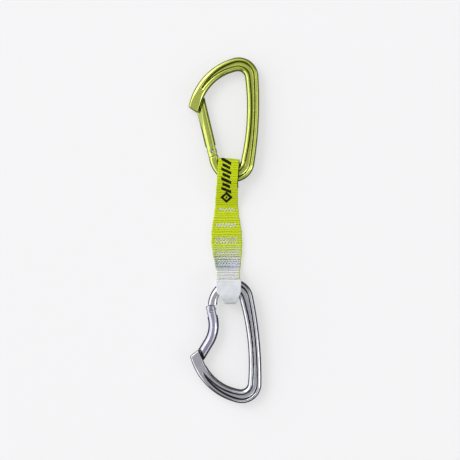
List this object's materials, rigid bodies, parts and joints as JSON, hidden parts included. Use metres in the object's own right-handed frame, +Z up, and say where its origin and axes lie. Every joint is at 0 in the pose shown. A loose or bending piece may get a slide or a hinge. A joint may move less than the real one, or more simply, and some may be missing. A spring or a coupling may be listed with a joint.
{
  "type": "climbing quickdraw",
  "caption": "Sport-climbing quickdraw: a straight-gate and a bent-gate keylock carabiner joined by a flat bar-tacked sling, with a rubber keeper at the rope end.",
  "frame": {"origin": "centre of the whole part's footprint, on the surface it lies on", "axes": "+Y along the sling towards the straight-gate carabiner, +X towards both spines, +Z up"},
  "size_m": [0.0588, 0.279, 0.0169],
  "materials": {
    "lime_anodised": "satin anodised",
    "polished_alloy": "polished",
    "steel": "satin",
    "spring_steel": "drawn",
    "webbing": "woven",
    "thread": "stitched",
    "keeper": "moulded translucent"
  },
  "bodies": {
    "sling": {"webbing": "webbing", "bar_tack_1": "thread", "bar_tack_2": "thread", "bar_tack_3": "thread", "bar_tack_4": "thread", "bar_tack_5": "thread", "bar_tack_6": "thread", "bar_tack_7": "thread", "bar_tack_8": "thread"},
    "upper_carabiner": {"upper_body": "lime_anodised", "upper_rivet": "steel"},
    "upper_gate": {"upper_gate": "lime_anodised", "upper_spring": "spring_steel"},
    "upper_plunger": {"upper_plunger": "steel"},
    "lower_carabiner": {"lower_body": "polished_alloy", "lower_rivet": "steel", "keeper": "keeper"},
    "lower_gate": {"lower_gate": "polished_alloy", "lower_spring": "spring_steel"},
    "lower_plunger": {"lower_plunger": "steel"}
  },
  "joints": [
    {"name": "upper_swing", "type": "hinge", "parent": "sling", "child": "upper_carabiner", "pos_m": [0.0032, 0.02189, 0.00187], "axis": [1, 0, 0], "range_deg": [-90, 90], "deforming": ["webbing"]},
    {"name": "upper_gate_hinge", "type": "hinge", "parent": "upper_carabiner", "child": "upper_gate", "pos_m": [-0.0106, 0.06359, 0.00668], "axis": [0, -0.0242, -0.9997], "range_deg": [0, 35], "stiffness_Nm_per_rad": 0.4, "springref_deg": -34.38, "deforming": ["upper_spring"]},
    {"name": "upper_plunger_slide", "type": "slide", "parent": "upper_gate", "child": "upper_plunger", "axis": [-0.23, 0.9729, -0.0236], "range_m": [0, 0.00062]},
    {"name": "lower_swing", "type": "hinge", "parent": "sling", "child": "lower_carabiner", "pos_m": [0.0032, -0.03311, 0.00222], "axis": [-1, 0, 0], "range_deg": [-60, 60], "deforming": ["webbing"]},
    {"name": "lower_gate_hinge", "type": "hinge", "parent": "lower_carabiner", "child": "lower_gate", "pos_m": [-0.01116, -0.06477, 0.00768], "axis": [0.0019, -0.038, 0.9993], "range_deg": [0, 35], "stiffness_Nm_per_rad": 0.4, "springref_deg": -34.38, "deforming": ["lower_spring"]},
    {"name": "lower_plunger_slide", "type": "slide", "parent": "lower_gate", "child": "lower_plunger", "axis": [0.2232, -0.974, -0.0375], "range_m": [0, 0.00062]}
  ],
  "couplings": [
    {"joint": "upper_plunger_slide", "follows": "upper_gate_hinge", "m_per_rad": 0.00098451},
    {"joint": "lower_plunger_slide", "follows": "lower_gate_hinge", "m_per_rad": 0.00098451}
  ]
}
